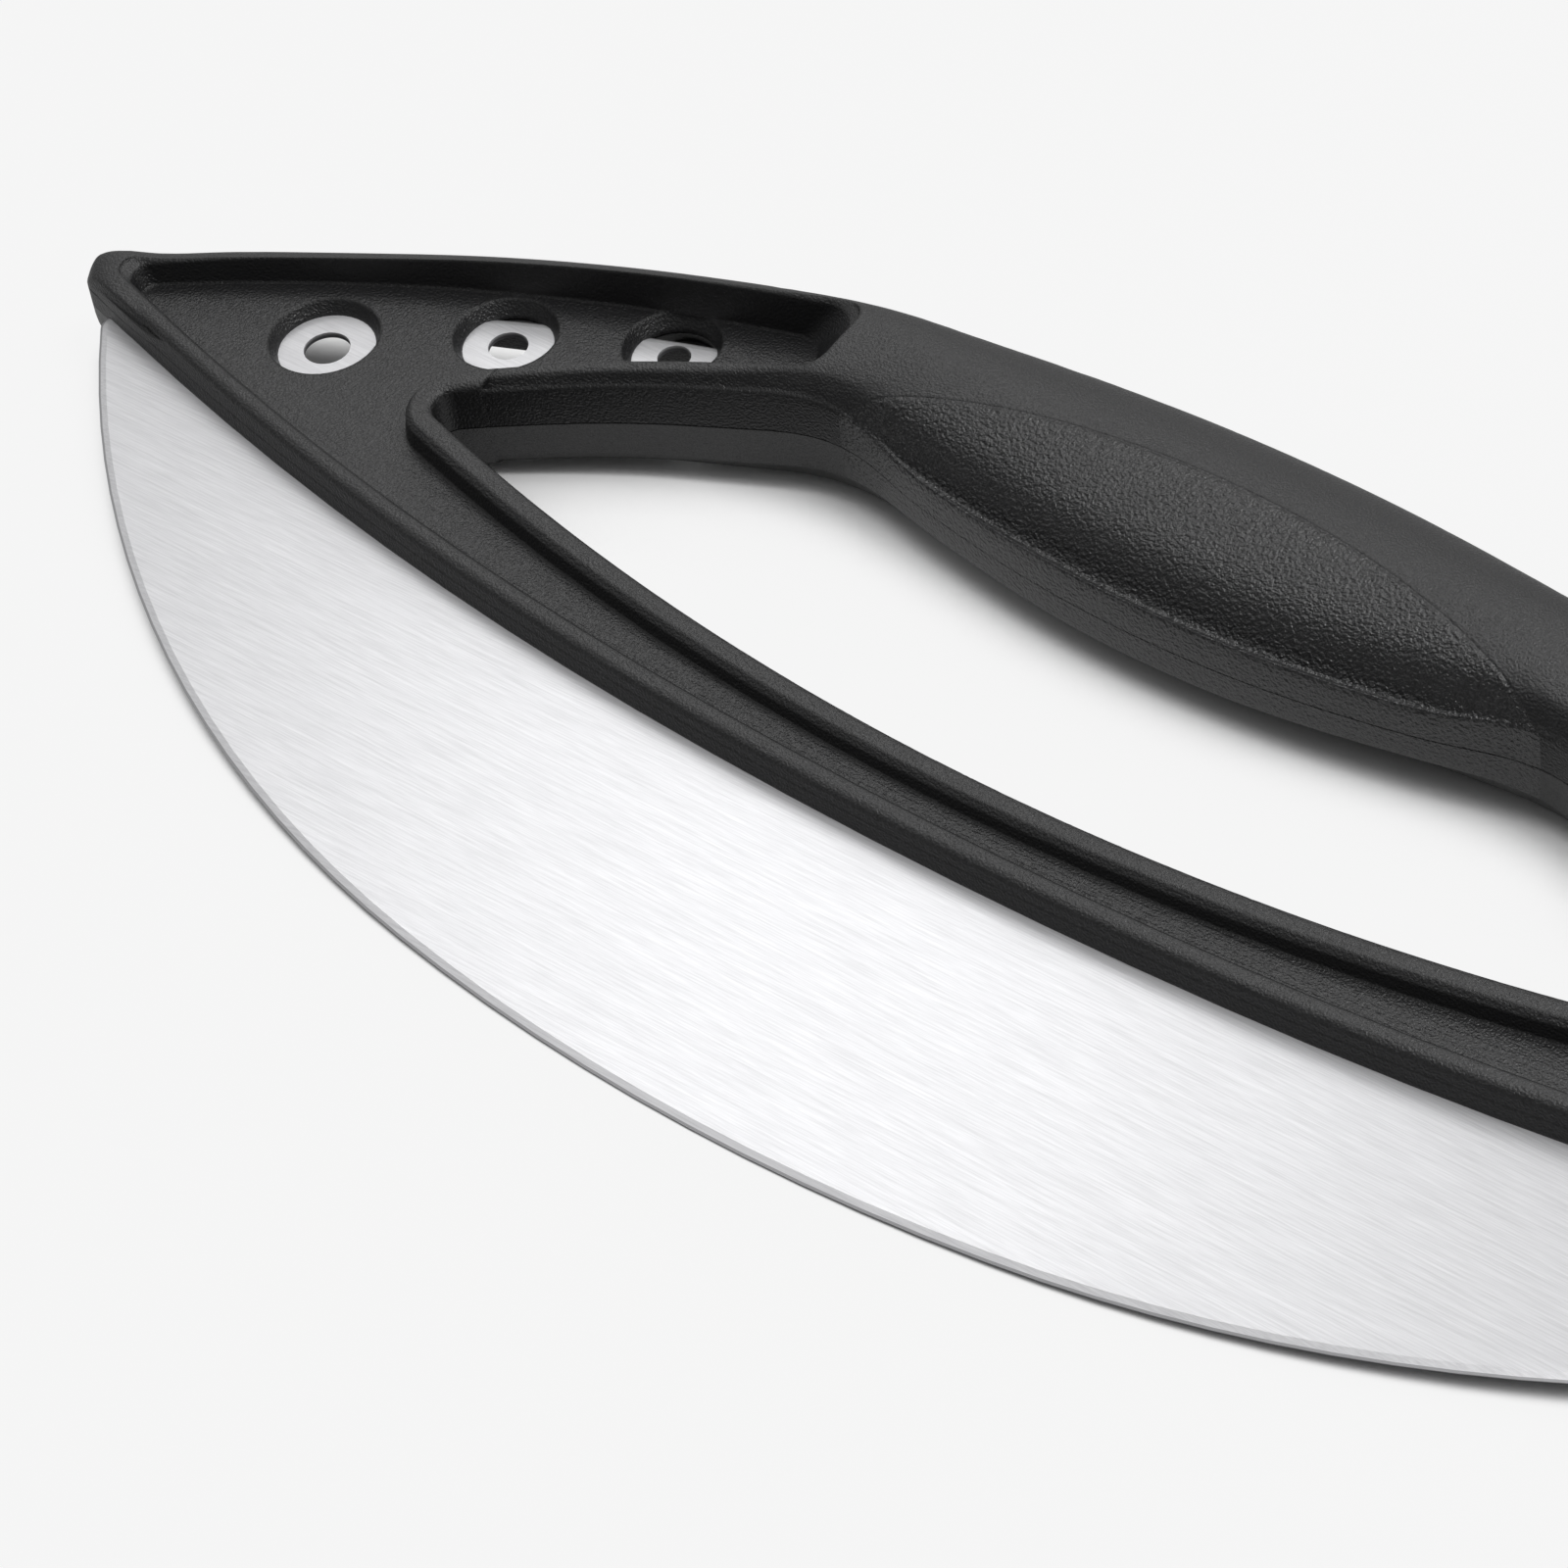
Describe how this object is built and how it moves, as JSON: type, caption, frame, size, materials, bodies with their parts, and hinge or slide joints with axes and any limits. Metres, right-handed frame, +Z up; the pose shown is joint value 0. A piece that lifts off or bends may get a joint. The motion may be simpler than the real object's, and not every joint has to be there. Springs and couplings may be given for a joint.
{
  "type": "pizza slicer",
  "caption": "Rocking pizza slicer: a long curved steel blade moulded into a black plastic frame with an arched handle, soft pad and recessed end panels.",
  "frame": {"origin": "centre of the bounding box in X and Y, on the surface the slicer rests on", "axes": "+X along the length of the blade, +Y from the cutting edge towards the handle, +Z up from the surface it lies on"},
  "size_m": [0.354, 0.137, 0.0269],
  "materials": {
    "steel": "brushed",
    "hard_plastic": "matte",
    "soft_plastic": "matte"
  },
  "bodies": {
    "root": {"blade": "steel", "frame": "hard_plastic", "grip": "soft_plastic"}
  },
  "joints": []
}
